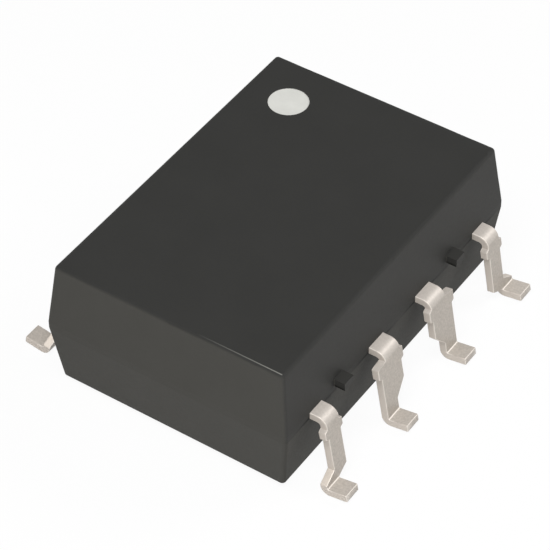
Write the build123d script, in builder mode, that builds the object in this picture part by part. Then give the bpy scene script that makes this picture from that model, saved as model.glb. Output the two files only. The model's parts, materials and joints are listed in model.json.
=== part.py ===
from build123d import *
from math import cos, radians, sin
import os

os.makedirs("parts", exist_ok=True)

# An optocoupler with eight gull-wing leads, in millimetres.
# +X points to the side of leads 5 to 8, +Y to the end with the pin 1 mark, +Z up.
# The origin is in the middle of the footprint, on the plane that the feet stand on.
# Leads 1 to 4 run down the -X side from +Y to -Y, and leads 5 to 8 come back up the +X side.

# Body moulding: widest at the parting band, with each wall drawn in towards the top and the bottom
body_width = 6.54
body_length = 9.27
top_side_inset = 0.19
top_end_inset = 0.185
bottom_side_inset = 0.195
bottom_end_inset = 0.19
body_height = 3.47
stand_off = 0.15
corner_radius = 0.10
top_edge_radius = 0.10
bottom_edge_radius = 0.04

# Pips on the +X wall, on the upper edge of the parting band
pip_width = 0.35
pip_height = 0.21
pip_reach = 0.28
pip_places = (-2.53, 2.21)

# Pin 1 mark, a disc of white ink in a shallow round recess
mark_diameter = 1.00
mark_from_side = 1.21
mark_from_end = 1.30
mark_recess = 0.05
mark_ink = 0.03

# Strip that the leads are stamped from, and its bends outside the body
lead_thickness = 0.19
lead_top = 1.94
knee_half_span = 3.69
knee_radius = 0.27
web_flare = 9.5
heel_inner_radius = 0.04
foot_length = 0.50

# Blank of the leads, across the strip
lead_pitch = 2.54
foot_width = 0.475
outer_shoulder_place = 3.45
outer_shoulder_width = 0.48
middle_shoulder_place = 0.985
middle_shoulder_width = 0.60

# Blank of the leads, down the web from the knee
outer_jog_start = 1.49
outer_jog_drop = 0.20
inner_jog_start = 1.61
inner_jog_drop = 0.17
middle_step_start = 1.08
middle_step_drop = 0.39
outer_bar_start = 0.29
middle_bar_start = 0.21
dam_bar_end = 0.57
dam_bar_slope = 0.04
dam_bar_stub = 0.095

# Lead frames inside the body
web_reach = 0.90
shoulder_lap = 0.21
ramp_outer = 2.37
ramp_run = 0.62
ramp_radius = 0.25
emitter_rise = 0.60
detector_drop = 0.60
post_end = 1.20
post_width = 0.42
post_arm_end = 1.60
anchor_end = 1.55
anchor_length = 0.50
anchor_width = 0.90
anchor_hole = 0.26
emitter_paddle_edge = 0.45
detector_paddle_side = 1.90
detector_arm_width = 0.50

# Chips and their bonds
emitter_die_side = 0.36
emitter_die_height = 0.17
detector_die_side = 1.16
detector_die_height = 0.26
die_bond_height = 0.03
die_bond_margin = 0.04

# Silicone and insulating film between the chips
film_thickness = 0.08
film_width = 2.40
film_length = 2.80
gel_radius_detector = 0.92
gel_radius_film = 0.80
gel_radius_emitter = 0.42

# Bond wires
wire_radius = 0.015
wire_loop = 0.13
wire_rise = 0.12
wire_ball_radius = 0.04
wire_ball_height = 0.02
wire_stitch_length = 0.10
wire_stitch_width = 0.06
wire_stitch_height = 0.01
wire_pad_inset = 0.08
wire_landing = 0.20

# Inner moulding
inner_width = 4.90
inner_length = 7.90
inner_cover = 0.98
inner_inset = 0.14
inner_corner_radius = 0.30

# Worked out from the values above
body_top = stand_off + body_height
top_width = body_width - 2 * top_side_inset
top_length = body_length - 2 * top_end_inset
bottom_width = body_width - 2 * bottom_side_inset
bottom_length = body_length - 2 * bottom_end_inset
lead_bottom = lead_top - lead_thickness
flare_sin = sin(radians(web_flare))
flare_cos = cos(radians(web_flare))
heel_radius = heel_inner_radius + lead_thickness
web_length = (lead_top + heel_inner_radius * flare_sin - heel_radius) / flare_cos + heel_inner_radius
shoulder_reach = knee_half_span - web_reach + shoulder_lap
ramp_inner = ramp_outer - ramp_run
emitter_level = lead_bottom + emitter_rise
detector_level = lead_bottom - detector_drop
emitter_face = emitter_level - die_bond_height - emitter_die_height
detector_face = detector_level + lead_thickness + die_bond_height + detector_die_height
film_bottom = (emitter_face + detector_face - film_thickness) / 2
detector_paddle_edge = detector_paddle_side / 2
outer_foot_place = 1.5 * lead_pitch
middle_foot_place = 0.5 * lead_pitch


def drafted_block(middle, upper, lower, top, bottom, radius):
    """Moulded block: drafted walls above and below a vertical band as high as the lead is thick."""
    with BuildPart() as block:
        with BuildSketch(Plane.XY.offset(lead_top)):
            RectangleRounded(*middle, radius)
        with BuildSketch(Plane.XY.offset(top)):
            RectangleRounded(*upper, radius)
        loft()
        with BuildSketch(Plane.XY.offset(lead_bottom)):
            RectangleRounded(*middle, radius)
        with BuildSketch(Plane.XY.offset(bottom)):
            RectangleRounded(*lower, radius)
        loft()
        with BuildSketch(Plane.XY.offset(lead_bottom)):
            RectangleRounded(*middle, radius)
        extrude(amount=lead_thickness)
    return block.part


def blank_outline(shoulder_place, shoulder_width, foot_place, bar_start, inner_step, outer_step):
    """Outline of one stamped lead as (distance from the middle of the row, distance down the web).

    The stubs that the dam bar leaves stand out on both sides, from bar_start down to dam_bar_end.
    Each step is (start, drop) of the slanted edge that carries the web's edge over to the foot's edge.
    With no outer step, the web is as wide as the foot's outer edge from the dam bar down.
    """
    shoulder_in = shoulder_place - shoulder_width / 2
    shoulder_out = shoulder_place + shoulder_width / 2
    foot_in = foot_place - foot_width / 2
    foot_out = foot_place + foot_width / 2
    web_out = shoulder_out if outer_step else foot_out
    stub_top = bar_start + dam_bar_slope
    stub_bottom = dam_bar_end - dam_bar_slope
    inside = -body_width
    tip = web_length + 2 * lead_thickness
    points = [
        (shoulder_in, inside),
        (shoulder_in, bar_start),
        (shoulder_in - dam_bar_stub, stub_top),
        (shoulder_in - dam_bar_stub, stub_bottom),
        (shoulder_in, dam_bar_end),
        (shoulder_in, inner_step[0]),
        (foot_in, sum(inner_step)),
        (foot_in, tip),
        (foot_out, tip),
    ]
    if outer_step:
        points += [(foot_out, sum(outer_step)), (shoulder_out, outer_step[0])]
    points += [
        (web_out, dam_bar_end),
        (web_out + dam_bar_stub, stub_bottom),
        (web_out + dam_bar_stub, stub_top),
        (shoulder_out, bar_start),
        (shoulder_out, inside),
    ]
    return points


def plate(x_from, x_to, y_from, y_to):
    """Rectangle between two corners, for a sketch of a flat part of the lead frame."""
    with Locations(((x_from + x_to) / 2, (y_from + y_to) / 2)):
        Rectangle(abs(x_to - x_from), abs(y_to - y_from))


def formed_lead(side, end, outline, inner_end, rise):
    """Lead on the wall of one side: the bent strip, cut across by the outline of its blank.

    The outline is cut square to the web, up to web_reach on both sides of it. Inside the body, from
    shoulder_reach inwards, the strip keeps the width of its shoulder.
    """
    shoulder_in, shoulder_out = outline[0][0], outline[-1][0]
    foot_start = (knee_half_span + web_length * flare_sin, lead_top - web_length * flare_cos)
    foot_tip = (foot_start[0] + foot_length * flare_cos, foot_start[1] + foot_length * flare_sin)
    upper_line = [(knee_half_span, lead_top), foot_start, foot_tip]
    bends = [knee_radius, heel_inner_radius]
    if rise:
        upper_line = [(ramp_inner, lead_top + rise), (ramp_outer, lead_top)] + upper_line
        bends = [ramp_radius, ramp_radius] + bends
    upper_line = [(inner_end, lead_top + rise)] + upper_line
    section = Plane(origin=(0, 0, 0), x_dir=(side, 0, 0), z_dir=(0, -side, 0))
    web_face = Plane(
        origin=(side * knee_half_span, 0, lead_top),
        x_dir=(0, side, 0),
        z_dir=(side * flare_cos, 0, flare_sin),
    )
    with BuildPart() as lead:
        with BuildSketch(section):
            with BuildLine():
                FilletPolyline(*upper_line, radius=bends)
                offset(amount=lead_thickness, side=Side.RIGHT, closed=True)
            make_face()
        extrude(amount=body_length / 2, both=True)
        with BuildPart(mode=Mode.INTERSECT):
            with BuildSketch(web_face):
                with BuildLine():
                    Polyline(*[(side * end * across, -down) for across, down in outline], close=True)
                make_face()
            extrude(amount=web_reach, both=True)
            with BuildSketch():
                plate(side * inner_end, side * shoulder_reach, end * shoulder_in, end * shoulder_out)
            extrude(amount=body_top)
    return lead.part


def bond_wire(start, start_z, landing, landing_z, way):
    """Gold wire from a ball on a chip's pad to a flat stitch on a landing; way is +1 up, -1 down."""
    rise_top = start_z + way * wire_loop
    landing_top = landing_z + way * wire_rise
    start_plane = Plane(origin=(*start, start_z), x_dir=(1, 0, 0), z_dir=(0, 0, way))
    heading = (landing[0] - start[0], landing[1] - start[1], 0)
    landing_plane = Plane(origin=(*landing, landing_z), x_dir=heading, z_dir=(0, 0, way))
    with BuildPart() as wire:
        with BuildLine() as route:
            Polyline((*start, start_z), (*start, rise_top), (*landing, landing_top), (*landing, landing_z))
        with BuildSketch(start_plane):
            Circle(wire_radius)
        sweep(path=route.wire(), transition=Transition.RIGHT)
        with BuildSketch(start_plane):
            Circle(wire_ball_radius)
        extrude(amount=wire_ball_height)
        with BuildSketch(landing_plane):
            Rectangle(wire_stitch_length, wire_stitch_width)
        extrude(amount=wire_stitch_height)
    return wire.part


# Blanks of the two kinds of lead
outer_blank = blank_outline(
    outer_shoulder_place,
    outer_shoulder_width,
    outer_foot_place,
    outer_bar_start,
    (inner_jog_start, inner_jog_drop),
    (outer_jog_start, outer_jog_drop),
)
middle_blank = blank_outline(
    middle_shoulder_place,
    middle_shoulder_width,
    middle_foot_place,
    middle_bar_start,
    (middle_step_start, middle_step_drop),
    None,
)
outer_edge = outer_shoulder_place + outer_shoulder_width / 2
middle_edge = middle_shoulder_place + middle_shoulder_width / 2

# Leads 1 and 4, not connected: a straight finger with a pierced anchor
anchors = {}
for number, end in ((1, 1), (4, -1)):
    with BuildPart() as lead:
        add(formed_lead(-1, end, outer_blank, anchor_end, 0))
        anchor_inside = outer_edge - anchor_width
        with BuildSketch(Plane.XY.offset(lead_bottom)):
            plate(-anchor_end, -anchor_end - anchor_length, end * outer_edge, end * anchor_inside)
            with Locations((-anchor_end - anchor_length / 2, end * (outer_edge - anchor_width / 2))):
                Circle(anchor_hole / 2, mode=Mode.SUBTRACT)
        extrude(amount=lead_thickness)
    lead.part.label = f"lead_{number}"
    anchors[number] = lead.part

# Lead 2, anode: a raised post that the wire from the light emitting chip lands on
with BuildPart() as lead_2:
    add(formed_lead(-1, 1, middle_blank, post_end, emitter_rise))
lead_2.part.label = "lead_2"

# Lead 3, cathode: a raised paddle that holds the light emitting chip underneath
with BuildPart() as lead_3:
    add(formed_lead(-1, -1, middle_blank, post_end, emitter_rise))
    with BuildSketch(Plane.XY.offset(emitter_level)):
        plate(-ramp_inner + wire_landing / 2, emitter_paddle_edge, -middle_edge, emitter_paddle_edge)
    extrude(amount=lead_thickness)
lead_3.part.label = "lead_3"

# Lead 5, ground: a lowered arm and paddle that hold the detector chip on top
with BuildPart() as lead_5:
    add(formed_lead(1, -1, outer_blank, detector_paddle_edge - detector_arm_width, -detector_drop))
    with BuildSketch(Plane.XY.offset(detector_level)):
        Rectangle(detector_paddle_side, detector_paddle_side)
        plate(detector_paddle_edge - detector_arm_width, detector_paddle_edge, -outer_edge, 0)
    extrude(amount=lead_thickness)
lead_5.part.label = "lead_5"

# Leads 6 and 7, output and enable: lowered posts
posts = {}
for number, end in ((6, -1), (7, 1)):
    with BuildPart() as lead:
        add(formed_lead(1, end, middle_blank, post_end, -detector_drop))
    lead.part.label = f"lead_{number}"
    posts[number] = lead.part

# Lead 8, supply: a lowered arm that reaches towards the chip
with BuildPart() as lead_8:
    add(formed_lead(1, 1, outer_blank, post_end, -detector_drop))
    with BuildSketch(Plane.XY.offset(detector_level)):
        plate(post_end, post_end + post_width, post_arm_end, outer_edge)
    extrude(amount=lead_thickness)
lead_8.part.label = "lead_8"

leads = [anchors[1], lead_2.part, lead_3.part, anchors[4], lead_5.part, posts[6], posts[7], lead_8.part]

# Light emitting chip and its bond, under the paddle of lead 3
with BuildPart() as emitter_die_bond:
    with BuildSketch(Plane.XY.offset(emitter_level - die_bond_height)):
        Rectangle(emitter_die_side + 2 * die_bond_margin, emitter_die_side + 2 * die_bond_margin)
    extrude(amount=die_bond_height)
emitter_die_bond.part.label = "emitter_die_bond"

with BuildPart() as emitter_die:
    with BuildSketch(Plane.XY.offset(emitter_face)):
        Rectangle(emitter_die_side, emitter_die_side)
    extrude(amount=emitter_die_height)
emitter_die.part.label = "emitter_die"

# Detector chip and its bond, on the paddle of lead 5
with BuildPart() as detector_die_bond:
    with BuildSketch(Plane.XY.offset(detector_level + lead_thickness)):
        Rectangle(detector_die_side + 2 * die_bond_margin, detector_die_side + 2 * die_bond_margin)
    extrude(amount=die_bond_height)
detector_die_bond.part.label = "detector_die_bond"

with BuildPart() as detector_die:
    with BuildSketch(Plane.XY.offset(detector_face - detector_die_height)):
        Rectangle(detector_die_side, detector_die_side)
    extrude(amount=detector_die_height)
detector_die.part.label = "detector_die"

# Bond wires: the pads lie inside the chip's edges, the landings on the posts and the paddle
emitter_landing = (-post_end - wire_landing, middle_shoulder_place)
post_landing = post_end + wire_landing
pad_edge = detector_die_side / 2 - wire_pad_inset
paddle_landing = (detector_paddle_edge + detector_die_side / 2) / 2
landing_z = detector_level + lead_thickness

with BuildPart() as emitter_bond_wire:
    add(bond_wire((0, 0), emitter_face, emitter_landing, emitter_level, -1))
emitter_bond_wire.part.label = "emitter_bond_wire"

with BuildPart() as ground_bond_wire:
    add(bond_wire((0, -pad_edge), detector_face, (0, -paddle_landing), landing_z, 1))
ground_bond_wire.part.label = "ground_bond_wire"

with BuildPart() as output_bond_wire:
    output_landing = (post_landing, -middle_shoulder_place)
    add(bond_wire((pad_edge, -pad_edge), detector_face, output_landing, landing_z, 1))
output_bond_wire.part.label = "output_bond_wire"

with BuildPart() as enable_bond_wire:
    enable_landing = (post_landing, middle_shoulder_place)
    add(bond_wire((pad_edge, 0), detector_face, enable_landing, landing_z, 1))
enable_bond_wire.part.label = "enable_bond_wire"

with BuildPart() as supply_bond_wire:
    supply_landing = (post_landing, post_arm_end + wire_landing)
    add(bond_wire((pad_edge, pad_edge), detector_face, supply_landing, landing_z, 1))
supply_bond_wire.part.label = "supply_bond_wire"

wires = [
    emitter_bond_wire.part,
    ground_bond_wire.part,
    output_bond_wire.part,
    enable_bond_wire.part,
    supply_bond_wire.part,
]

# Insulating film between the two halves of the silicone
with BuildPart() as isolating_film:
    with BuildSketch(Plane.XY.offset(film_bottom)):
        Rectangle(film_width, film_length)
    extrude(amount=film_thickness)
isolating_film.part.label = "isolating_film"

# Clear silicone from the detector up to the film, and from the film up to the emitter
with BuildPart() as lower_coupling_gel:
    with BuildSketch(Plane.XY.offset(landing_z)):
        Circle(gel_radius_detector)
    with BuildSketch(Plane.XY.offset(film_bottom)):
        Circle(gel_radius_film)
    loft()
    add([detector_die_bond.part, detector_die.part] + wires, mode=Mode.SUBTRACT)
lower_coupling_gel.part.label = "lower_coupling_gel"

with BuildPart() as upper_coupling_gel:
    with BuildSketch(Plane.XY.offset(film_bottom + film_thickness)):
        Circle(gel_radius_film)
    with BuildSketch(Plane.XY.offset(emitter_level)):
        Circle(gel_radius_emitter)
    loft()
    add([emitter_die_bond.part, emitter_die.part] + wires, mode=Mode.SUBTRACT)
upper_coupling_gel.part.label = "upper_coupling_gel"

# Inner moulding: fills the space round everything that it holds
held = leads + wires + [
    emitter_die_bond.part,
    emitter_die.part,
    detector_die_bond.part,
    detector_die.part,
    isolating_film.part,
    lower_coupling_gel.part,
    upper_coupling_gel.part,
]
inner_middle = (inner_width, inner_length)
inner_ends = (inner_width - 2 * inner_inset, inner_length - 2 * inner_inset)
inner_block = drafted_block(
    inner_middle, inner_ends, inner_ends,
    lead_top + inner_cover, lead_bottom - inner_cover, inner_corner_radius,
)
with BuildPart() as inner_moulding:
    add(inner_block)
    add(held, mode=Mode.SUBTRACT)
inner_moulding.part.label = "inner_moulding"

# Body moulding: drafted walls, pips, the recess of the pin 1 mark, and the space of what it holds
mark_place = (-top_width / 2 + mark_from_side, top_length / 2 - mark_from_end)
with BuildPart() as body_moulding:
    add(drafted_block(
        (body_width, body_length),
        (top_width, top_length),
        (bottom_width, bottom_length),
        body_top, stand_off, corner_radius,
    ))
    fillet(body_moulding.faces().sort_by(Axis.Z)[-1].edges(), top_edge_radius)
    fillet(body_moulding.faces().sort_by(Axis.Z)[0].edges(), bottom_edge_radius)
    for place in pip_places:
        with BuildSketch(Plane.XY.offset(lead_top)):
            with Locations((body_width / 2, place)):
                Rectangle(2 * pip_reach, pip_width)
        extrude(amount=pip_height)
    with BuildSketch(Plane.XY.offset(body_top)):
        with Locations(mark_place):
            Circle(mark_diameter / 2)
    extrude(amount=-mark_recess, mode=Mode.SUBTRACT)
    add([inner_block] + leads, mode=Mode.SUBTRACT)
body_moulding.part.label = "body_moulding"

with BuildPart() as pin_1_mark:
    with BuildSketch(Plane.XY.offset(body_top - mark_recess)):
        with Locations(mark_place):
            Circle(mark_diameter / 2)
    extrude(amount=mark_ink)
pin_1_mark.part.label = "pin_1_mark"

export_step(body_moulding.part, "parts/body_moulding.step")
export_step(pin_1_mark.part, "parts/pin_1_mark.step")
export_step(inner_moulding.part, "parts/inner_moulding.step")
export_step(isolating_film.part, "parts/isolating_film.step")
export_step(lower_coupling_gel.part, "parts/lower_coupling_gel.step")
export_step(upper_coupling_gel.part, "parts/upper_coupling_gel.step")
export_step(emitter_die.part, "parts/emitter_die.step")
export_step(emitter_die_bond.part, "parts/emitter_die_bond.step")
export_step(detector_die.part, "parts/detector_die.step")
export_step(detector_die_bond.part, "parts/detector_die_bond.step")
for piece in leads + wires:
    export_step(piece, f"parts/{piece.label}.step")
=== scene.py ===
import json
import math

import bpy
import numpy as np
from mathutils import Matrix, Vector


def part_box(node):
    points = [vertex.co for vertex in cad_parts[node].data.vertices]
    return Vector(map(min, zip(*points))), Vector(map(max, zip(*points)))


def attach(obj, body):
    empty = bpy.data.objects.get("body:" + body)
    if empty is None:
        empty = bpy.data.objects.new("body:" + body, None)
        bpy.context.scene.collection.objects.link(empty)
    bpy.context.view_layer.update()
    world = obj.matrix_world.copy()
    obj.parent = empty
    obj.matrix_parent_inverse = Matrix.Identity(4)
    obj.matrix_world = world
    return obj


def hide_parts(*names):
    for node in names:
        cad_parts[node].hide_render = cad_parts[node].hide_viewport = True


# Looks of the optocoupler. Sizes below are in millimetres, the scene is in metres.
# +X points to the side of leads 5 to 8, +Y to the end with the pin 1 mark, +Z up.
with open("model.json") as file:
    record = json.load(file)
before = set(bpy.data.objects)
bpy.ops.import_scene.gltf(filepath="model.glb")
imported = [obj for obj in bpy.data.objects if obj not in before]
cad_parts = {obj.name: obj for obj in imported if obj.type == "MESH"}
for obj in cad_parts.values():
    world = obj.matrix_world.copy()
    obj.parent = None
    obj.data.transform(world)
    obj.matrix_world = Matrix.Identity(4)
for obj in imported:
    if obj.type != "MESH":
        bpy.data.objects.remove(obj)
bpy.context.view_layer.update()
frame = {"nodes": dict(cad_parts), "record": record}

MM = 0.001

# The strip of the leads and its bends, as in the solids
LEAD_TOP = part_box("lead_5")[1].z / MM
THICKNESS = 0.19
KNEE_HALF_SPAN = 3.69
KNEE_RADIUS = 0.27
WEB_FLARE = math.radians(9.5)
HEEL_INNER_RADIUS = 0.04
FOOT_LENGTH = 0.50
FLARE_SIN, FLARE_COS = math.sin(WEB_FLARE), math.cos(WEB_FLARE)
HEEL_RADIUS = HEEL_INNER_RADIUS + THICKNESS
WEB_LENGTH = (LEAD_TOP + HEEL_INNER_RADIUS * FLARE_SIN - HEEL_RADIUS) / FLARE_COS + HEEL_INNER_RADIUS

# The blank of the leads: from where to where its shoulder lies across the part, where the middle of its foot
# lies, how far down the web its dam bar's stub begins, and where each step begins and how far down it reaches
FOOT_WIDTH = 0.475
DAM_BAR_END, DAM_BAR_SLOPE, DAM_BAR_STUB = 0.57, 0.04, 0.095
OUTER_KIND = {
    "shoulder": (3.21, 3.69), "foot": 3.81, "bar": 0.29,
    "inner_step": (1.61, 0.17), "outer_step": (1.49, 0.20),
}
MIDDLE_KIND = {
    "shoulder": (0.685, 1.285), "foot": 1.27, "bar": 0.21,
    "inner_step": (1.08, 0.39), "outer_step": None,
}

# The lead frames inside the body; from INNER_REACH inwards a strip keeps the width of its shoulder
INNER_REACH = 3.00
RAMP_OUTER, RAMP_INNER, RAMP_RADIUS = 2.37, 1.75, 0.25
EMITTER_RISE, DETECTOR_DROP = 0.60, -0.60
POST_END, POST_WIDTH, POST_ARM_END = 1.20, 0.42, 1.60
EMITTER_PADDLE_EDGE, EMITTER_LANDING = 0.45, 1.65
DETECTOR_PADDLE_EDGE, DETECTOR_ARM_WIDTH = 0.95, 0.50
ARM_END = DETECTOR_PADDLE_EDGE - DETECTOR_ARM_WIDTH
ANCHOR_END, ANCHOR_HALF, ANCHOR_HOLE_RADIUS = 1.55, (0.25, 0.45), 0.13
ANCHOR_MIDDLE = (ANCHOR_END - ANCHOR_HALF[0], OUTER_KIND["shoulder"][1] - ANCHOR_HALF[1])

# The eight leads: side along X, end along Y, kind, where the strip ends inside the body, and its rise there
LEADS = {
    1: (-1, 1, OUTER_KIND, ANCHOR_END, 0.0),
    2: (-1, 1, MIDDLE_KIND, POST_END, EMITTER_RISE),
    3: (-1, -1, MIDDLE_KIND, POST_END, EMITTER_RISE),
    4: (-1, -1, OUTER_KIND, ANCHOR_END, 0.0),
    5: (1, -1, OUTER_KIND, ARM_END, DETECTOR_DROP),
    6: (1, -1, MIDDLE_KIND, POST_END, DETECTOR_DROP),
    7: (1, 1, MIDDLE_KIND, POST_END, DETECTOR_DROP),
    8: (1, 1, OUTER_KIND, POST_END, DETECTOR_DROP),
}

# Plates of the lead frames, in each lead's own half: X from and to, Y from and to, height of the top
PLATES = {
    3: [(-EMITTER_PADDLE_EDGE, EMITTER_LANDING, -EMITTER_PADDLE_EDGE, MIDDLE_KIND["shoulder"][1],
         LEAD_TOP + EMITTER_RISE)],
    5: [(-DETECTOR_PADDLE_EDGE, DETECTOR_PADDLE_EDGE, -DETECTOR_PADDLE_EDGE, DETECTOR_PADDLE_EDGE,
         LEAD_TOP + DETECTOR_DROP),
        (ARM_END, DETECTOR_PADDLE_EDGE, DETECTOR_ARM_WIDTH, OUTER_KIND["shoulder"][1],
         LEAD_TOP + DETECTOR_DROP)],
    8: [(POST_END, POST_END + POST_WIDTH, POST_ARM_END, OUTER_KIND["shoulder"][1], LEAD_TOP + DETECTOR_DROP)],
}

# Rounding of the stamped edges, how far the rounding of a strip's end turns in radians, how close the extra
# rows lie that keep the flats flat in the shading, and how near to a line a point has to be to lie on it
EDGE_ROUND = 0.022
END_TURN = 1.3
HOLD = 0.006
CLOSE = 1e-6
ARC_STEPS = 14
CORNER_STEPS = 4
HOLE_STEPS = 48
SHARP_ANGLE = math.radians(40)

# Tones of the epoxy; two colours are the darker and the lighter end of its clouds. The top, the long walls
# and the end walls are lit and shaded copies of one tone, painted light and shade: the top darkest, the end
# walls lightest
EPOXY_TOP_AS_LIT = (0.0253, 0.0253, 0.0239), (0.0273, 0.0273, 0.0258)
EPOXY_LONG_WALLS_AS_LIT = (0.0423, 0.0419, 0.0395), (0.0444, 0.0440, 0.0416)
EPOXY_END_WALLS_AS_LIT = (0.0523, 0.0510, 0.0456), (0.0550, 0.0537, 0.0483)
EPOXY_LOWER_HALF = (0.0443, 0.0430, 0.0378)
# Painted shade on the pips: near black at their foot, rising to about the top's tone at their crown
PIP_FOOT_SHADE, PIP_CROWN_SHADE = (0.0030, 0.0028, 0.0022), (0.0285, 0.0282, 0.0262)
# Painted highlight: the pale tone of the glint along the top's -Y edge
GLINT_EPOXY = (0.22, 0.22, 0.20)
# Painted shadow: the black of the thin dark line beside each lead
LEAD_SHADOW_BLACK = (0.0, 0.0, 0.0)

# Where those tones lie: the heights between which the walls' lower half begins, the pips beyond the wall and
# the height over which their painted shade at the foot fades, and the painted shadow beside each lead
LOWER_HALF = (1.70, 1.80)
BODY_HALF_WIDTH = 3.27
PIP_START, PIP_SHADE_FADE = (BODY_HALF_WIDTH + 0.005, BODY_HALF_WIDTH + 0.02), 0.08
LEAD_SHADOW_REACH, LEAD_SHADOW_HEIGHT, LEAD_SHADOW_WIDTH = 0.60, 1.80, 0.045

# The painted highlight, a glint, along a stretch of the top's -Y edge: its distance from the middle and its
# height, from where to where it grows along X and how soon it ends, its half width, and how far below the
# edge it may reach
GLINT_EDGE, GLINT_ALONG, GLINT_END = (4.3842, 3.6140), (0.8, 3.0), 0.03
GLINT_HALF_WIDTH, GLINT_DEPTH = (0.004, 0.020), (0.05, 0.04)

# Tones of the tin
ROLLED_TIN = (0.408, 0.372, 0.333), (0.518, 0.472, 0.423)
CUT_TIN = (0.527, 0.476, 0.425)
# Painted light: the paler tone of the shoulders, against the body's shade on them
SHOULDER_LIT_TIN = (0.553, 0.510, 0.470)
STEP_TIN = (0.645, 0.580, 0.512)
# Painted highlights: the bright tone of the rounded stamped edges and of the bend above each foot
HIGHLIGHT_TIN = (0.680, 0.632, 0.575)

# Heights on the leads between which a tone comes in or goes out
SHOULDER_RISE = (LEAD_TOP - 0.40, LEAD_TOP - 0.30)
STEP_RISE, STEP_FALL = (0.22, 0.26), (0.48, 0.52)
UPPER_EDGES_RISE, FOOT_EDGES_FALL = (1.72, 1.76), (0.19, 0.21)
CREASE_FALL = (0.34, 0.38)

# Finishes that are alike all over but for their clouds and grain, with the values that grained takes
PLAIN_FINISHES = {
    "white_ink": dict(
        dark=(0.574, 0.574, 0.541), light=(0.626, 0.626, 0.591),
        cloud=2500, grain=24000, rough=(0.55, 0.70), height=2.0e-6, Specular_IOR_Level=0.3,
    ),
    "inner_epoxy": dict(
        dark=(0.72, 0.70, 0.64), light=(0.82, 0.81, 0.76),
        cloud=1500, grain=12000, rough=(0.35, 0.50), height=2.0e-6,
        Subsurface_Weight=0.2, Subsurface_Radius=(3e-4, 3e-4, 3e-4),
    ),
    "silicone": dict(
        dark=(0.80, 0.82, 0.82), light=(0.86, 0.87, 0.87),
        cloud=1500, grain=9000, rough=(0.05, 0.12), height=1.0e-6, Transmission_Weight=0.9, IOR=1.41,
    ),
    "film": dict(
        dark=(0.62, 0.33, 0.07), light=(0.70, 0.39, 0.10),
        cloud=1500, grain=9000, rough=(0.10, 0.20), height=1.0e-6, Transmission_Weight=0.5, IOR=1.6,
    ),
    "emitter_chip": dict(
        dark=(0.40, 0.15, 0.12), light=(0.50, 0.20, 0.16),
        cloud=6000, grain=30000, rough=(0.18, 0.30), height=0.6e-6,
    ),
    "detector_chip": dict(
        dark=(0.12, 0.13, 0.17), light=(0.20, 0.21, 0.27),
        cloud=9000, grain=40000, rough=(0.12, 0.24), height=0.5e-6, Metallic=0.4,
    ),
    "silver_bond": dict(
        dark=(0.62, 0.62, 0.61), light=(0.76, 0.76, 0.75),
        cloud=8000, grain=40000, rough=(0.35, 0.55), height=2.0e-6, Metallic=0.9,
    ),
    "gold_wire": dict(
        dark=(0.86, 0.60, 0.22), light=(0.94, 0.70, 0.30),
        cloud=9000, grain=60000, rough=(0.15, 0.28), height=0.5e-6, Metallic=1.0,
    ),
}

# The lamps' direction from the body, their distance and size, and their power in watts
LAMPS = {
    "key_lamp": ((0.10, -0.35, 0.93), 60, 30, 0.0276),
    "low_lamp": ((0.35, -0.90, 0.20), 60, 34, 0.0137),
    "back_lamp": ((0.45, 0.59, 0.67), 60, 24, 0.0134),
    "side_lamp": ((0.70, 0.59, 0.41), 60, 30, 0.0010),
}

# The world's strength where it only lights the object, the floor's paint and half width, and the share of
# plain white in what the camera sees of the floor
WORLD_LIGHT = 0.12
FLOOR_PAINT, FLOOR_HALF, FLOOR_WHITE = 0.85, 500, 0.94


def rounded_path(corners, radii):
    """Points and upper normals along a polyline in the XZ plane with its corners rounded.

    At a corner that turns by a, the arc of radius r starts r * tan(a / 2) before it and ends as far
    after it. The upper normal is the direction of travel turned a quarter to the left. Each straight
    run has a point close to both of its ends.
    """
    p = np.array(corners, float)
    travel = np.diff(p, axis=0)
    travel /= np.linalg.norm(travel, axis=1)[:, None]
    left = np.stack([-travel[:, 1], travel[:, 0]], axis=1)
    points, normals = [p[:1]], [left[:1]]
    for k, r in enumerate(radii, start=1):
        before, after = travel[k - 1], travel[k]
        turn = math.atan2(before[0] * after[1] - before[1] * after[0], before @ after)
        reach = r * math.tan(abs(turn) / 2)
        start = p[k] - before * reach
        end = p[k] + after * reach
        centre = start + left[k - 1] * math.copysign(r, turn)
        angle = turn * np.linspace(0, 1, ARC_STEPS)[:, None]
        swung = left[k - 1] * np.cos(angle) + np.array([-left[k - 1][1], left[k - 1][0]]) * np.sin(angle)
        arc = centre - swung * math.copysign(r, turn)
        points += [start - before * HOLD, arc, end + after * HOLD]
        normals += [left[k - 1], swung, left[k]]
    points.append(p[-1])
    normals.append(left[-1])
    return np.vstack(points), np.vstack(normals)


def with_stations(points, normals, corner, heading, distances):
    """The path with extra points at these distances from a corner, on the straight run that leaves it.

    A point of the path is on that run if it lies ahead of the corner with no distance sideways from
    the heading. The extra points are sorted in between the run's first and last point.
    """
    left = np.array([-heading[1], heading[0]])
    run, side = (points - corner) @ heading, (points - corner) @ left
    on_run = np.flatnonzero((np.abs(side) < CLOSE) & (run > 0))
    after_first, last = on_run[0] + 1, on_run[-1]
    extra = distances[(distances > run[on_run[0]] + CLOSE) & (distances < run[last] - CLOSE)]
    order = np.argsort(np.concatenate([run[after_first:last], extra]))
    between_points = np.vstack([points[after_first:last], corner + np.outer(extra, heading)])[order]
    between_normals = np.vstack([normals[after_first:last], np.tile(left, (len(extra), 1))])[order]
    return (
        np.vstack([points[:after_first], between_points, points[last:]]),
        np.vstack([normals[:after_first], between_normals, normals[last:]]),
    )


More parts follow.
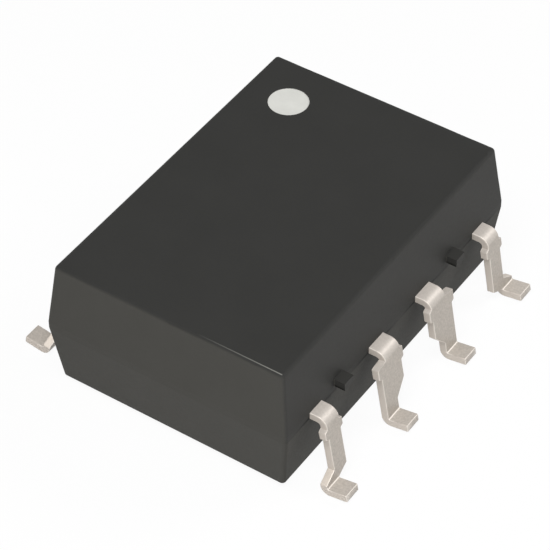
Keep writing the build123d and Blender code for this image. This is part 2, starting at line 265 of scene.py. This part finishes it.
def section_loop():
    """One turn round the strip's section, a rounded rectangle, as rows for each of its samples.

    A row holds the edge of the blank that the sample belongs to, 0 inner or 1 outer, the depth of its
    corner's centre below the top face, its sideways shift, and the outward direction of the rounding
    there, sideways and upwards. Each quarter turn of CORNER_STEPS facets has one more sample on the
    flat at each end.
    """
    upper, lower = -EDGE_ROUND, EDGE_ROUND - THICKNESS
    turn = np.concatenate([[0], np.linspace(0, np.pi / 2, CORNER_STEPS + 1), [np.pi / 2]])
    rows = []
    corners = [(0, upper, np.pi), (1, upper, np.pi / 2), (1, lower, 0.0), (0, lower, -np.pi / 2)]
    for edge, depth, start in corners:
        sideways, upward = np.cos(start - turn), np.sin(start - turn)
        shift = np.zeros((len(turn), 2))
        shift[0] = -HOLD * sideways[-1], -HOLD * upward[-1]
        shift[-1] = -HOLD * sideways[0], -HOLD * upward[0]
        columns = [np.full(len(turn), edge), depth + shift[:, 1], shift[:, 0], sideways, upward]
        rows.append(np.column_stack(columns))
    return np.vstack(rows)


def carried_strip(points, normals, inner_edge, outer_edge, down):
    """Vertices and faces of a flat strip carried along a path, closed at both ends.

    The two parameters are the place along the path and the place round the section. A point lies at
    the path's point plus the upper normal times its depth, and sideways at the inner or outer edge of
    the blank for its own distance down the web. Each end of the path is rounded too: where that
    rounding has turned by t, the section lies EDGE_ROUND * (1 - sin t / sin END_TURN) short of the end
    and its own rounding has shrunk to EDGE_ROUND * cos t.
    """
    travel = points[-1] - points[-2]
    travel = travel / np.linalg.norm(travel)
    back = points[1] - points[0]
    back = back / np.linalg.norm(back)
    swell = END_TURN * np.linspace(0, 1, CORNER_STEPS)
    short_of_end = EDGE_ROUND * (1 - np.sin(swell) / math.sin(END_TURN))[:, None]
    shrunk = EDGE_ROUND * np.cos(swell)
    head, tail = points[0] + back * short_of_end[::-1], points[-1] - travel * short_of_end
    path = np.vstack([head, points[1:-1], tail])
    upward = np.vstack([
        np.tile(normals[0], (CORNER_STEPS, 1)), normals[1:-1], np.tile(normals[-1], (CORNER_STEPS, 1))
    ])
    radius = np.concatenate([shrunk[::-1], np.full(len(points) - 2, EDGE_ROUND), shrunk])[:, None]
    edge, depth, shift, sideways, lift = section_loop().T
    height = depth + radius * lift
    x = path[:, :1] + upward[:, :1] * height
    z = path[:, 1:] + upward[:, 1:] * height
    reach = down(x, z)
    y_inner = inner_edge(reach) + EDGE_ROUND
    y_outer = outer_edge(reach) - EDGE_ROUND
    y = np.where(edge == 0, y_inner, y_outer) + shift + radius * sideways
    index = np.arange(x.size).reshape(x.shape)
    ahead = np.roll(index, -1, axis=1)
    quads = np.stack([index[:-1], index[1:], ahead[1:], ahead[:-1]], axis=-1).reshape(-1, 4)
    faces = [tuple(q) for q in quads.tolist()] + [tuple(index[0].tolist()), tuple(index[-1][::-1].tolist())]
    return np.stack([x, y, z], axis=-1).reshape(-1, 3), faces


def flat_plate(x_from, x_to, y_from, y_to, top):
    """Vertices and faces of a flat plate: the strip carried straight along X between two straight edges."""
    rim = EDGE_ROUND + HOLD
    points = np.array([[x, top] for x in (x_from, x_from + rim, x_to - rim, x_to)])
    return carried_strip(
        points, np.tile([0.0, 1.0], (4, 1)),
        lambda reach: reach + y_from, lambda reach: reach + y_to, lambda x, z: np.zeros_like(x),
    )


def pierced_plate(middle, half, hole_radius, top):
    """Vertices and faces of a flat plate with a round hole.

    The parameters are the angle a round the hole and four rows: the rectangle's edge on top, the hole's
    edge on top, the hole's edge below and the rectangle's edge below. The rectangle's edge lies at
    (cos a, sin a) divided by the larger of |cos a| / half X and |sin a| / half Y.
    """
    a = np.linspace(0, 2 * np.pi, HOLE_STEPS + 1)[:-1]
    ray = np.stack([np.cos(a), np.sin(a)], axis=1)
    edge = ray / np.maximum(np.abs(ray[:, :1]) / half[0], np.abs(ray[:, 1:]) / half[1])
    hole = ray * hole_radius
    rows = [(edge, top), (hole, top), (hole, top - THICKNESS), (edge, top - THICKNESS)]
    grid = np.stack([np.column_stack([row + middle, np.full(HOLE_STEPS, height)]) for row, height in rows])
    index = np.arange(len(rows) * HOLE_STEPS).reshape(len(rows), HOLE_STEPS)
    below, ahead = np.roll(index, -1, axis=0), np.roll(index, -1, axis=1)
    quads = np.stack([index, ahead, np.roll(below, -1, axis=1), below], axis=-1).reshape(-1, 4)
    return grid.reshape(-1, 3), [tuple(q) for q in quads.tolist()]


def blank_edges(kind):
    """Inner and outer edge of a lead's blank as functions of the distance down the web, and their corners.

    Both are straight between their corners: the dam bar's stub stands out between two short slopes,
    and each step carries the web's edge over to the foot's edge.
    """
    shoulder_in, shoulder_out = kind["shoulder"]
    foot_in, foot_out = kind["foot"] - FOOT_WIDTH / 2, kind["foot"] + FOOT_WIDTH / 2
    step, outer_step = kind["inner_step"], kind["outer_step"]
    web_out = shoulder_out if outer_step else foot_out
    stub = [kind["bar"], kind["bar"] + DAM_BAR_SLOPE, DAM_BAR_END - DAM_BAR_SLOPE, DAM_BAR_END]
    stub_in, stub_out = shoulder_in - DAM_BAR_STUB, web_out + DAM_BAR_STUB
    inner = np.array([
        stub + [step[0], sum(step)],
        [shoulder_in, stub_in, stub_in, shoulder_in, shoulder_in, foot_in],
    ])
    outer = np.array([stub, [shoulder_out, stub_out, stub_out, web_out]])
    if outer_step:
        outer = np.hstack([outer, [[outer_step[0], sum(outer_step)], [shoulder_out, foot_out]]])
    knots = np.unique(np.concatenate([inner[0], outer[0]]))
    return lambda reach: np.interp(reach, *inner), lambda reach: np.interp(reach, *outer), knots


def down_the_web(x, z):
    """Distance down the web: along its slope from the knee's corner, and 0 inside the body."""
    along_web = (x - KNEE_HALF_SPAN) * FLARE_SIN - (z - LEAD_TOP) * FLARE_COS
    return np.where(x > INNER_REACH, along_web, 0.0)


def lead_shell(kind, inner_end, rise):
    """Vertices and faces of one formed lead, on the +X side and in the +Y half.

    The strip is carried along its upper face's line: level from its inner end, up or down the ramp if
    it has one, level over the shoulder, round the knee, down the flared web and round the heel to the
    foot, which is square to the web. The path has stations beside each corner of the blank's edges.
    """
    knee = np.array([KNEE_HALF_SPAN, LEAD_TOP])
    down_web, along_foot = np.array([FLARE_SIN, -FLARE_COS]), np.array([FLARE_COS, FLARE_SIN])
    heel = knee + WEB_LENGTH * down_web
    corners = [(inner_end, LEAD_TOP + rise), knee, heel, heel + FOOT_LENGTH * along_foot]
    radii = [KNEE_RADIUS, HEEL_INNER_RADIUS]
    if rise:
        corners[1:1] = [(RAMP_INNER, LEAD_TOP + rise), (RAMP_OUTER, LEAD_TOP)]
        radii = [RAMP_RADIUS, RAMP_RADIUS] + radii
    inner_edge, outer_edge, knots = blank_edges(kind)
    points, normals = rounded_path(corners, radii)
    beside = np.array([-2, -1, 1, 2]) * HOLD
    stations = np.unique(np.round((knots[:, None] + beside).ravel(), 6))
    points, normals = with_stations(points, normals, knee, down_web, stations)
    return carried_strip(points, normals, inner_edge, outer_edge, down_the_web)


def new_object(name, data):
    """Object with this data, in the scene."""
    made = bpy.data.objects.new(name, data)
    bpy.context.scene.collection.objects.link(made)
    return made


def make_piece(name, shells, flip_x, flip_y, node):
    """Puts shells of vertices and faces into one smooth mesh that stands for a CAD node.

    flip_x and flip_y are 1 or -1. One mirroring turns every face inside out, so the faces are then
    listed the other way round.
    """
    vertices, faces, start = [], [], 0
    for points, polygons in shells:
        turned = polygons if flip_x * flip_y > 0 else [p[::-1] for p in polygons]
        faces += [tuple(start + i for i in p) for p in turned]
        vertices.append(points * (flip_x * MM, flip_y * MM, MM))
        start += len(points)
    mesh = bpy.data.meshes.new(name)
    mesh.from_pydata(np.vstack(vertices), [], faces)
    mesh.polygons.foreach_set("use_smooth", np.ones(len(mesh.polygons), bool))
    mesh.set_sharp_from_angle(angle=SHARP_ANGLE)
    piece = new_object(name, mesh)
    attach(piece, "root")
    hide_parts(node)
    return piece


def in_metres(*sizes):
    """These sizes in millimetres, as metres."""
    return [size * MM for size in sizes]


def rgba(colour):
    """A colour of three numbers with full cover, as colour sockets take it."""
    return (*colour, 1.0)


class Wiring:
    """The nodes of a material or of the world, added and joined in one line each."""

    def __init__(self, owner):
        self.owner = owner
        owner.use_nodes = True
        self.tree = owner.node_tree
        self.tree.nodes.clear()

    def plug(self, socket, value):
        """Joins another node's output to a socket, or else writes the value on it."""
        if isinstance(value, bpy.types.NodeSocket):
            self.tree.links.new(value, socket)
        else:
            socket.default_value = value

    def add(self, kind, sockets=(), **settings):
        """Adds a node. sockets maps its inputs to values or to other nodes' outputs."""
        node = self.tree.nodes.new(kind)
        for key, value in settings.items():
            setattr(node, key, value)
        for key, value in dict(sockets).items():
            self.plug(node.inputs[key], value)
        return node

    def place(self):
        """The place on the piece, in metres."""
        return self.add("ShaderNodeTexCoord").outputs["Object"]

    def split(self, vector):
        """A vector's X, Y and Z."""
        return self.add("ShaderNodeSeparateXYZ", {"Vector": vector}).outputs

    def facing(self):
        """X, Y and Z of the direction that the surface faces, each from -1 to 1."""
        return self.split(self.add("ShaderNodeTexCoord").outputs["Normal"])

    def noise(self, place, scale, detail=3.0, roughness=0.55):
        """Cloudy pattern on the piece's own coordinates, scale in repeats per metre."""
        sockets = {"Vector": place, "Scale": scale, "Detail": detail, "Roughness": roughness}
        return self.add("ShaderNodeTexNoise", sockets).outputs["Fac"]

    def maths(self, operation, *values):
        """One calculation on one or two values."""
        return self.add("ShaderNodeMath", dict(enumerate(values)), operation=operation).outputs["Value"]

    def size(self, value):
        """A value without its sign."""
        return self.maths("ABSOLUTE", value)

    def product(self, first, *others):
        """Several factors multiplied."""
        for other in others:
            first = self.maths("MULTIPLY", first, other)
        return first

    def between(self, value, low, high, from_low=0.3, from_high=0.7):
        """A value carried over from one span to another, and held at its ends."""
        spans = {"From Min": from_low, "From Max": from_high, "To Min": low, "To Max": high}
        return self.add("ShaderNodeMapRange", {"Value": value, **spans}).outputs["Result"]

    def rise(self, value, start, end):
        """0 up to start and 1 from end on."""
        return self.between(value, 0.0, 1.0, start, end)

    def fall(self, value, start, end):
        """1 up to start and 0 from end on."""
        return self.between(value, 1.0, 0.0, start, end)

    def blend(self, factor, first, second):
        """Two colours mixed by a factor; each is three numbers or another node's output."""
        node = self.add("ShaderNodeMix", data_type="RGBA")
        colours = [c if isinstance(c, bpy.types.NodeSocket) else rgba(c) for c in (first, second)]
        for number, value in zip((0, 6, 7), (factor, *colours)):
            self.plug(node.inputs[number], value)
        return node.outputs[2]

    def looked_at(self):
        """1 for the camera's own rays, straight, mirrored or through glass, otherwise 0."""
        rays = self.add("ShaderNodeLightPath").outputs
        unbent = self.maths("MAXIMUM", rays["Is Camera Ray"], rays["Is Glossy Ray"])
        return self.maths("MAXIMUM", unbent, rays["Is Transmission Ray"])


def grained(name, dark, light, cloud, grain, rough, height, **surface):
    """A surface whose colour drifts over clouds and whose fine grain moves the roughness and the bump.

    cloud and grain are in repeats per metre, height is the grain's depth in metres. The remaining
    values go straight onto the shader's sockets. Returns the wiring, the clouds, the colour and the
    shader.
    """
    w = Wiring(bpy.data.materials.new(name))
    place = w.place()
    clouds = w.between(w.noise(place, cloud), 0.0, 1.0)
    grains = w.noise(place, grain, detail=4.0, roughness=0.6)
    colour = w.blend(clouds, dark, light)
    bump = w.add("ShaderNodeBump", {"Height": grains, "Distance": height, "Strength": 1.0})
    sockets = {
        "Base Color": colour,
        "Roughness": w.between(grains, *rough),
        "Normal": bump.outputs["Normal"],
    }
    sockets.update({key.replace("_", " "): value for key, value in surface.items()})
    shader = w.add("ShaderNodeBsdfPrincipled", sockets)
    w.add("ShaderNodeOutputMaterial", {"Surface": shader.outputs["BSDF"]})
    return w, clouds, colour, shader


def painted_glint(w, place):
    """1 along the painted highlight, a glint, on a stretch of the top's -Y edge.

    The line is where height and Y add up to what they are on the edge. It grows from the start of its
    stretch to the end, stops there within GLINT_END, and keeps to the edge's own height.
    """
    above = w.maths("SUBTRACT", place["Z"], GLINT_EDGE[1] * MM)
    before = w.maths("ADD", place["Y"], GLINT_EDGE[0] * MM)
    on_edge = w.fall(w.size(w.maths("ADD", above, before)), *in_metres(*GLINT_HALF_WIDTH))
    grown = w.rise(place["X"], *in_metres(*GLINT_ALONG))
    ended = w.fall(place["X"], *in_metres(GLINT_ALONG[1], GLINT_ALONG[1] + GLINT_END))
    high_up = w.rise(place["Z"], *in_metres(*[GLINT_EDGE[1] - depth for depth in GLINT_DEPTH]))
    return w.product(on_edge, w.product(grown, ended), high_up)


def painted_lead_shadow(w, place, facing):
    """1 on the long walls' line of painted shadow beside each lead, less with the distance from its shoulder.

    That distance is the larger of how far a place lies short of the shoulder's inner edge and how far
    beyond its outer edge, and the nearer kind of lead counts.
    """
    along = w.size(place["Y"])
    apart = [
        w.maths("MAXIMUM", w.maths("SUBTRACT", inner * MM, along), w.maths("SUBTRACT", along, outer * MM))
        for inner, outer in (OUTER_KIND["shoulder"], MIDDLE_KIND["shoulder"])
    ]
    near_lead = w.fall(w.maths("MINIMUM", *apart), 0.0, LEAD_SHADOW_REACH * MM)
    off_line = w.size(w.maths("SUBTRACT", place["Z"], LEAD_SHADOW_HEIGHT * MM))
    on_line = w.fall(off_line, 0.0, LEAD_SHADOW_WIDTH * MM)
    on_long_wall = w.rise(w.size(facing["X"]), 0.8, 0.9)
    return w.product(near_lead, on_line, on_long_wall)


def black_epoxy():
    """Dull moulded epoxy.

    The top, the long walls and the end walls get lit and shaded copies of one tone, painted light and shade:
    the top darker than the drafted walls, the end walls lightest and a little warmer. The lower half of the
    long walls is a little warmer too. The torn pips are painted dark with shade, all but their tip, darkest
    at the foot.
    A stretch of the top's edge carries a painted highlight, and a thin dark line of painted shadow fades away
    from each lead.
    """
    w, clouds, top, shader = grained(
        "black_epoxy", *EPOXY_TOP_AS_LIT, cloud=900, grain=16000, rough=(0.50, 0.60), height=1.6e-6,
        Specular_IOR_Level=0.09,
    )
    place, facing = w.split(w.place()), w.facing()
    low_down = w.fall(place["Z"], *in_metres(*LOWER_HALF))
    long_walls = w.blend(low_down, w.blend(clouds, *EPOXY_LONG_WALLS_AS_LIT), EPOXY_LOWER_HALF)
    end_walls = w.blend(clouds, *EPOXY_END_WALLS_AS_LIT)
    on_end = w.rise(w.size(facing["Y"]), 0.4, 0.9)
    on_top = w.rise(facing["Z"], 0.3, 0.9)
    # Painted light and shade: the top, the long walls and the end walls each get their own lit or shaded tone
    colour = w.blend(on_top, w.blend(on_end, long_walls, end_walls), top)

    # Painted shade: the pips' faces, all but their tip, darken towards their foot
    up_pip = w.rise(place["Z"], *in_metres(LEAD_TOP, LEAD_TOP + PIP_SHADE_FADE))
    beyond_wall = w.rise(place["X"], *in_metres(*PIP_START))
    off_tip = w.fall(facing["X"], 0.5, 0.9)
    colour = w.blend(w.product(beyond_wall, off_tip), colour, w.blend(up_pip, PIP_FOOT_SHADE, PIP_CROWN_SHADE))

    # Painted highlight along a stretch of the top's -Y edge
    colour = w.blend(painted_glint(w, place), colour, GLINT_EPOXY)
    # Painted shadow: a thin dark line on the long walls beside each lead
    colour = w.blend(painted_lead_shadow(w, place, facing), colour, LEAD_SHADOW_BLACK)
    w.plug(shader.inputs["Base Color"], colour)
    return w.owner


def tin_plate():
    """Satin tin over the stamped strip.

    The cut edges are a little yellower than the rolled faces. The shoulders with their bends are painted
    paler, as painted light against the body's shade on them, and the slanted steps of the outer leads are
    paler too. The rounded stamped edges on the shoulders, the feet and the flared webs carry painted
    highlights, and so do the bend above each foot and the foot's tip.
    """
    w, _, colour, shader = grained(
        "tin_plate", *ROLLED_TIN, cloud=20000, grain=26000, rough=(0.36, 0.46), height=1.6e-6,
        Metallic=0.18, Specular_IOR_Level=0.1,
    )
    height, facing = w.split(w.place())["Z"], w.facing()
    sideways, outwards = w.size(facing["Y"]), w.size(facing["X"])
    facing_up = w.rise(facing["Z"], 0.0, 0.2)
    colour = w.blend(w.rise(sideways, 0.5, 0.9), colour, CUT_TIN)

    # Painted light: the upward faces of the shoulders and their bends are paler, against the body's shade
    high_up = w.rise(height, *in_metres(*SHOULDER_RISE))
    half_pale = w.between(facing["Z"], 0.0, 0.5, 0.25, 0.50)
    colour = w.blend(w.product(high_up, half_pale), colour, SHOULDER_LIT_TIN)

    slanted = w.product(w.rise(sideways, 0.35, 0.45), w.rise(facing["Z"], 0.60, 0.75))
    on_step = w.product(w.fall(height, *in_metres(*STEP_FALL)), w.rise(height, *in_metres(*STEP_RISE)))
    colour = w.blend(w.product(slanted, on_step), colour, STEP_TIN)

    # Painted highlights along the rounded stamped edges and in the bend above each foot
    on_shoulder = w.rise(height, *in_metres(*UPPER_EDGES_RISE))
    on_foot = w.fall(height, *in_metres(*FOOT_EDGES_FALL))
    on_web = w.rise(outwards, 0.15, 0.35)
    some_edge = w.maths("MAXIMUM", w.maths("MAXIMUM", on_shoulder, on_foot), on_web)
    edges = w.product(w.rise(sideways, 0.10, 0.30), w.fall(sideways, 0.80, 0.97), some_edge)
    turning = w.product(w.rise(outwards, 0.30, 0.45), w.fall(outwards, 0.80, 0.95))
    creases = w.product(turning, w.fall(height, *in_metres(*CREASE_FALL)), facing_up)
    colour = w.blend(w.maths("MAXIMUM", edges, creases), colour, HIGHLIGHT_TIN)
    w.plug(shader.inputs["Base Color"], colour)
    return w.owner


def finish_solids(finishes):
    """Gives each CAD node the finish of its material slot."""
    for entry in frame["record"]["subparts"]:
        node = frame["nodes"][entry["node"]]
        node.data.materials.clear()
        node.data.materials.append(finishes[entry["material_slot"]])


def formed_leads(finish):
    """The eight leads with rounded stamped edges, in the place of the sharp solids."""
    for number, (side, end, kind, inner_end, rise) in LEADS.items():
        shells = [lead_shell(kind, inner_end, rise)]
        shells += [flat_plate(*sizes) for sizes in PLATES.get(number, [])]
        if not rise:
            shells.append(pierced_plate(ANCHOR_MIDDLE, ANCHOR_HALF, ANCHOR_HOLE_RADIUS, LEAD_TOP))
        piece = make_piece(f"formed_lead_{number}", shells, side, end, f"lead_{number}")
        piece.data.materials.append(finish)


def camera_like_photograph():
    """Camera at the photograph's angle: a direction and a distance from a point inside the body."""
    azimuth, elevation, roll = math.radians(34.3917), math.radians(44.1973), math.radians(-0.4895)
    target, distance = Vector((-0.0147, -0.1939, 1.5678)) * MM, 62.774 * MM
    back = Vector((
        math.sin(azimuth) * math.cos(elevation), -math.cos(azimuth) * math.cos(elevation), math.sin(elevation)
    ))
    right = Vector((math.cos(azimuth), math.sin(azimuth), 0))
    up = back.cross(right)
    turned_right = right * math.cos(roll) + up * math.sin(roll)
    turned_up = up * math.cos(roll) - right * math.sin(roll)
    data = bpy.data.cameras.new("camera")
    data.lens, data.sensor_width = 176.332, 36.0
    data.clip_start, data.clip_end = 1 * MM, 10.0
    camera = new_object("camera", data)
    camera.matrix_world = Matrix.Translation(target + back * distance) @ Matrix((
        turned_right, turned_up, back
    )).transposed().to_4x4()
    bpy.context.scene.camera = camera


def lamp(name, direction, distance, size, power):
    """Square soft lamp that shines at the body from a direction, sizes in millimetres."""
    data = bpy.data.lights.new(name, "AREA")
    data.shape, data.size, data.energy = "SQUARE", size * MM, power
    light = new_object(name, data)
    towards = Vector(direction).normalized()
    light.location = towards * distance * MM
    light.rotation_mode = "QUATERNION"
    light.rotation_quaternion = towards.to_track_quat("Z", "Y")


def studio_world():
    """World that looks white to the camera and in reflections, and lights the object softly."""
    w = Wiring(bpy.data.worlds.new("studio"))
    strength = w.between(w.looked_at(), WORLD_LIGHT, 1.0, 0.0, 1.0)
    background = w.add("ShaderNodeBackground", {"Color": rgba((1, 1, 1)), "Strength": strength})
    w.add("ShaderNodeOutputWorld", {"Surface": background.outputs["Background"]})
    bpy.context.scene.world = w.owner


def studio_floor():
    """Pale floor that looks nearly white to the camera and keeps the object's shadow."""
    w = Wiring(bpy.data.materials.new("floor"))
    share = w.between(w.looked_at(), 0.0, FLOOR_WHITE, 0.0, 1.0)
    paint = w.add("ShaderNodeBsdfDiffuse", {"Color": rgba((FLOOR_PAINT, FLOOR_PAINT, FLOOR_PAINT))})
    glow = w.add("ShaderNodeEmission", {"Color": rgba((1, 1, 1)), "Strength": 1.0})
    mixed = w.add("ShaderNodeMixShader", {"Fac": share, 1: paint.outputs[0], 2: glow.outputs[0]})
    w.add("ShaderNodeOutputMaterial", {"Surface": mixed.outputs[0]})
    half = FLOOR_HALF * MM
    corners = [(-half, -half, 0), (half, -half, 0), (half, half, 0), (-half, half, 0)]
    mesh = bpy.data.meshes.new("floor")
    mesh.from_pydata(corners, [], [(0, 1, 2, 3)])
    mesh.materials.append(w.owner)
    floor = new_object("floor", mesh)


finishes = {name: grained(name, **values)[0].owner for name, values in PLAIN_FINISHES.items()}
finishes["black_epoxy"] = black_epoxy()
finishes["tin_plate"] = tin_plate()
finish_solids(finishes)
formed_leads(finishes["tin_plate"])

bpy.context.scene.view_settings.view_transform = "Standard"
camera_like_photograph()
studio_world()
studio_floor()
for lamp_name, lamp_values in LAMPS.items():
    lamp(lamp_name, *lamp_values)
